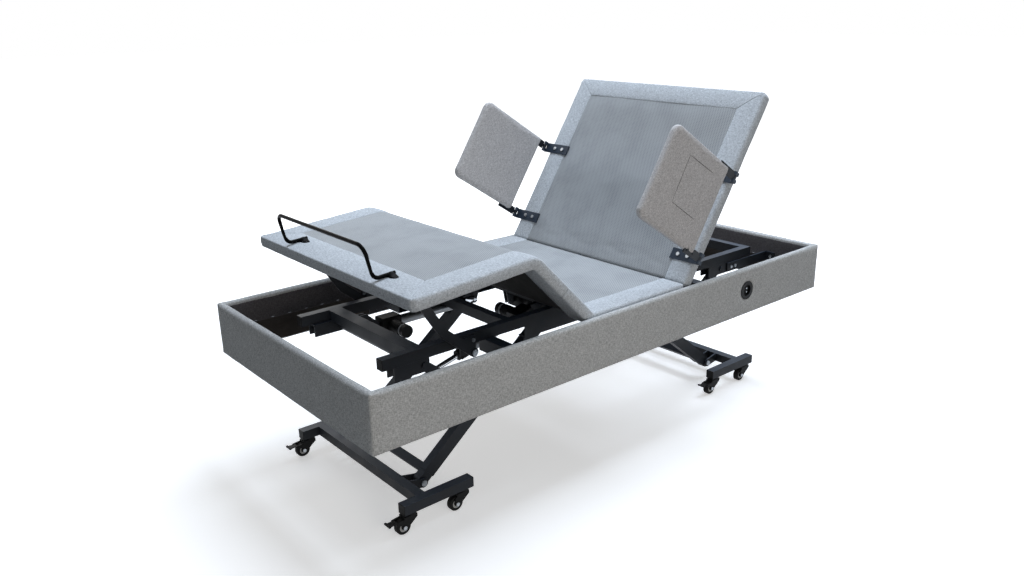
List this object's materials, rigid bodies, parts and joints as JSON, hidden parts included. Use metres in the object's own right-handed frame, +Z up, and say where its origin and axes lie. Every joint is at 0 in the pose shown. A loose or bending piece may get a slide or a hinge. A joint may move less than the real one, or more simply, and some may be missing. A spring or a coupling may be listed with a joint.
{
  "type": "adjustable bed base",
  "caption": "Upholstered adjustable bed base with folding back, thigh and calf sections, fold-out side wings, a mattress retainer and a scissor lift at each end on braked casters.",
  "frame": {"origin": "on the floor below the middle of the bed", "axes": "+X to the right seen from the foot, +Y to the head, +Z up"},
  "size_m": [0.988, 2.08, 1.191],
  "materials": {
    "upholstery": "woven melange upholstery cloth over a padded board",
    "deck_upholstery": "woven melange upholstery cloth over foam",
    "deck_mesh": "fine silvery spacer mesh",
    "frame_steel": "dark blue-grey powder coat",
    "hinge_steel": "steel-blue powder coat",
    "zinc": "bright zinc plate",
    "black_plastic": "moulded black nylon",
    "rod_steel": "polished chrome rod",
    "bar_gloss": "gloss black bent bar",
    "wheel_rubber": "black tread on a light rim"
  },
  "bodies": {
    "chassis": {"main_frame": "frame_steel", "surround_left": "upholstery", "surround_right": "upholstery", "surround_foot": "upholstery", "surround_head": "upholstery", "seat_pad": "deck_upholstery", "seat_mesh": "deck_mesh", "control_box": "black_plastic", "power_socket": "black_plastic", "frame_hardware": "zinc", "lift_actuators": "black_plastic", "thigh_actuator": "black_plastic", "back_actuator": "black_plastic"},
    "back": {"back_frame": "frame_steel", "back_pad": "deck_upholstery", "back_mesh": "deck_mesh", "wing_hinge_plates": "hinge_steel"},
    "left_wing": {"left_wing_pad": "deck_upholstery", "left_wing_arms": "frame_steel"},
    "right_wing": {"right_wing_pad": "deck_upholstery", "right_wing_arms": "frame_steel"},
    "thigh": {"thigh_frame": "frame_steel", "thigh_pad": "deck_upholstery", "thigh_mesh": "deck_mesh"},
    "calf": {"calf_frame": "frame_steel", "calf_pad": "deck_upholstery", "calf_mesh": "deck_mesh", "retainer_bar": "bar_gloss", "retainer_clips": "black_plastic"},
    "calf_link": {"calf_links": "frame_steel"},
    "foot_link": {"foot_short_links": "frame_steel"},
    "head_link": {"head_short_links": "frame_steel"},
    "foot_leg": {"foot_long_legs": "frame_steel"},
    "head_leg": {"head_long_legs": "frame_steel"},
    "foot_base": {"foot_base_frame": "frame_steel"},
    "head_base": {"head_base_frame": "frame_steel"},
    "foot_rod": {"foot_lift_rod": "rod_steel"},
    "head_rod": {"head_lift_rod": "rod_steel"},
    "thigh_push": {"thigh_rod": "rod_steel"},
    "back_push": {"back_rod": "rod_steel"},
    "fork_1": {"caster_fork_1": "black_plastic"},
    "wheel_1": {"caster_wheel_1": "wheel_rubber"},
    "fork_2": {"caster_fork_2": "black_plastic"},
    "wheel_2": {"caster_wheel_2": "wheel_rubber"},
    "fork_3": {"caster_fork_3": "black_plastic"},
    "wheel_3": {"caster_wheel_3": "wheel_rubber"},
    "fork_4": {"caster_fork_4": "black_plastic"},
    "wheel_4": {"caster_wheel_4": "wheel_rubber"},
    "fork_5": {"caster_fork_5": "black_plastic"},
    "wheel_5": {"caster_wheel_5": "wheel_rubber"},
    "fork_6": {"caster_fork_6": "black_plastic"},
    "wheel_6": {"caster_wheel_6": "wheel_rubber"},
    "fork_7": {"caster_fork_7": "black_plastic"},
    "wheel_7": {"caster_wheel_7": "wheel_rubber"},
    "fork_8": {"caster_fork_8": "black_plastic"},
    "wheel_8": {"caster_wheel_8": "wheel_rubber"},
    "pedal_1": {"brake_pedal_1": "black_plastic"},
    "pedal_2": {"brake_pedal_2": "black_plastic"},
    "pedal_3": {"brake_pedal_3": "black_plastic"},
    "pedal_4": {"brake_pedal_4": "black_plastic"}
  },
  "joints": [
    {"name": "hi_lo", "type": "hinge", "parent": "chassis", "child": "foot_link", "pos_m": [0, -0.715, 0.486], "axis": [-1, 0, 0], "range_deg": [-20.38, 11.62]},
    {"name": "foot_leg_fold", "type": "hinge", "parent": "foot_link", "child": "foot_leg", "pos_m": [0, -0.4524, 0.278], "axis": [-1, 0, 0], "range_deg": [-23.26, 40.78]},
    {"name": "foot_base_level", "type": "hinge", "parent": "foot_leg", "child": "foot_base", "pos_m": [0, -0.715, 0.07], "axis": [-1, 0, 0], "range_deg": [-20.4, 11.64]},
    {"name": "head_lift", "type": "hinge", "parent": "chassis", "child": "head_link", "pos_m": [0, 0.715, 0.486], "axis": [1, 0, 0], "range_deg": [-20.4, 11.64]},
    {"name": "head_leg_fold", "type": "hinge", "parent": "head_link", "child": "head_leg", "pos_m": [0, 0.4524, 0.278], "axis": [1, 0, 0], "range_deg": [-23.26, 40.78]},
    {"name": "head_base_level", "type": "hinge", "parent": "head_leg", "child": "head_base", "pos_m": [0, 0.715, 0.07], "axis": [1, 0, 0], "range_deg": [-20.4, 11.64]},
    {"name": "foot_lift_stroke", "type": "slide", "parent": "chassis", "child": "foot_rod", "axis": [0, -0.9686, -0.2487], "range_m": [-0.05089, 0.0291]},
    {"name": "head_lift_stroke", "type": "slide", "parent": "chassis", "child": "head_rod", "axis": [0, 0.9686, -0.2487], "range_m": [-0.05089, 0.0291]},
    {"name": "back_tilt", "type": "hinge", "parent": "chassis", "child": "back", "pos_m": [0, 0.25, 0.562], "axis": [1, 0, 0], "range_deg": [-56.8, 5.2]},
    {"name": "back_stroke", "type": "slide", "parent": "chassis", "child": "back_push", "axis": [0, 1, 0], "range_m": [-0.09649, 0.00902]},
    {"name": "thigh_lift", "type": "hinge", "parent": "chassis", "child": "thigh", "pos_m": [0, -0.2, 0.562], "axis": [-1, 0, 0], "range_deg": [-45.3, 0]},
    {"name": "knee", "type": "hinge", "parent": "thigh", "child": "calf", "pos_m": [0, -0.43854, 0.78599], "axis": [1, 0, 0], "range_deg": [-49.52, 0.02]},
    {"name": "calf_link_swing", "type": "hinge", "parent": "chassis", "child": "calf_link", "pos_m": [0, -0.554, 0.495], "axis": [-1, 0, 0], "range_deg": [-48.99, 0.02]},
    {"name": "thigh_stroke", "type": "slide", "parent": "chassis", "child": "thigh_push", "axis": [0, -1, 0], "range_m": [-0.06362, 0.0002]},
    {"name": "left_wing_fold", "type": "hinge", "parent": "back", "child": "left_wing", "pos_m": [-0.487, 0.36672, 0.79515], "axis": [0, -0.5476, -0.8368], "range_deg": [0, 90]},
    {"name": "right_wing_fold", "type": "hinge", "parent": "back", "child": "right_wing", "pos_m": [0.487, 0.36672, 0.79515], "axis": [0, 0.5476, 0.8368], "range_deg": [0, 90]},
    {"name": "caster_swivel_1", "type": "hinge", "parent": "foot_base", "child": "fork_1", "pos_m": [-0.32, -0.831, 0.06], "axis": [0, 0, 1], "continuous": true},
    {"name": "caster_roll_1", "type": "hinge", "parent": "fork_1", "child": "wheel_1", "pos_m": [-0.32, -0.863, 0.025], "axis": [1, 0, 0], "continuous": true},
    {"name": "brake_press_1", "type": "hinge", "parent": "fork_1", "child": "pedal_1", "pos_m": [-0.32, -0.887, 0.0444], "axis": [1, 0, 0], "range_deg": [0, 20]},
    {"name": "caster_swivel_2", "type": "hinge", "parent": "foot_base", "child": "fork_2", "pos_m": [0.32, -0.831, 0.06], "axis": [0, 0, 1], "continuous": true},
    {"name": "caster_roll_2", "type": "hinge", "parent": "fork_2", "child": "wheel_2", "pos_m": [0.32, -0.863, 0.025], "axis": [1, 0, 0], "continuous": true},
    {"name": "brake_press_2", "type": "hinge", "parent": "fork_2", "child": "pedal_2", "pos_m": [0.32, -0.887, 0.0444], "axis": [1, 0, 0], "range_deg": [0, 20]},
    {"name": "caster_swivel_3", "type": "hinge", "parent": "head_base", "child": "fork_3", "pos_m": [-0.32, 0.635, 0.06], "axis": [0, 0, 1], "continuous": true},
    {"name": "caster_roll_3", "type": "hinge", "parent": "fork_3", "child": "wheel_3", "pos_m": [-0.32, 0.603, 0.025], "axis": [1, 0, 0], "continuous": true},
    {"name": "brake_press_3", "type": "hinge", "parent": "fork_3", "child": "pedal_3", "pos_m": [-0.32, 0.579, 0.0444], "axis": [1, 0, 0], "range_deg": [0, 20]},
    {"name": "caster_swivel_4", "type": "hinge", "parent": "head_base", "child": "fork_4", "pos_m": [0.32, 0.635, 0.06], "axis": [0, 0, 1], "continuous": true},
    {"name": "caster_roll_4", "type": "hinge", "parent": "fork_4", "child": "wheel_4", "pos_m": [0.32, 0.603, 0.025], "axis": [1, 0, 0], "continuous": true},
    {"name": "brake_press_4", "type": "hinge", "parent": "fork_4", "child": "pedal_4", "pos_m": [0.32, 0.579, 0.0444], "axis": [1, 0, 0], "range_deg": [0, 20]},
    {"name": "caster_swivel_5", "type": "hinge", "parent": "foot_base", "child": "fork_5", "pos_m": [-0.32, -0.635, 0.06], "axis": [0, 0, 1], "continuous": true},
    {"name": "caster_roll_5", "type": "hinge", "parent": "fork_5", "child": "wheel_5", "pos_m": [-0.32, -0.667, 0.025], "axis": [1, 0, 0], "continuous": true},
    {"name": "caster_swivel_6", "type": "hinge", "parent": "foot_base", "child": "fork_6", "pos_m": [0.32, -0.635, 0.06], "axis": [0, 0, 1], "continuous": true},
    {"name": "caster_roll_6", "type": "hinge", "parent": "fork_6", "child": "wheel_6", "pos_m": [0.32, -0.667, 0.025], "axis": [1, 0, 0], "continuous": true},
    {"name": "caster_swivel_7", "type": "hinge", "parent": "head_base", "child": "fork_7", "pos_m": [-0.32, 0.831, 0.06], "axis": [0, 0, 1], "continuous": true},
    {"name": "caster_roll_7", "type": "hinge", "parent": "fork_7", "child": "wheel_7", "pos_m": [-0.32, 0.799, 0.025], "axis": [1, 0, 0], "continuous": true},
    {"name": "caster_swivel_8", "type": "hinge", "parent": "head_base", "child": "fork_8", "pos_m": [0.32, 0.831, 0.06], "axis": [0, 0, 1], "continuous": true},
    {"name": "caster_roll_8", "type": "hinge", "parent": "fork_8", "child": "wheel_8", "pos_m": [0.32, 0.799, 0.025], "axis": [1, 0, 0], "continuous": true}
  ],
  "couplings": [
    {"joint": "head_lift", "follows": "hi_lo", "ratio": 1},
    {"joint": "foot_leg_fold", "follows": "hi_lo", "ratio": -2},
    {"joint": "foot_base_level", "follows": "hi_lo", "ratio": 1},
    {"joint": "head_leg_fold", "follows": "hi_lo", "ratio": -2},
    {"joint": "head_base_level", "follows": "hi_lo", "ratio": 1},
    {"joint": "foot_lift_stroke", "follows": "hi_lo", "m_per_rad": 0.14252},
    {"joint": "head_lift_stroke", "follows": "hi_lo", "m_per_rad": 0.14252},
    {"joint": "back_stroke", "follows": "back_tilt", "m_per_rad": 0.09713},
    {"joint": "knee", "follows": "thigh_lift", "ratio": 1.0927},
    {"joint": "calf_link_swing", "follows": "thigh_lift", "ratio": 1.081},
    {"joint": "thigh_stroke", "follows": "thigh_lift", "m_per_rad": 0.08022}
  ]
}
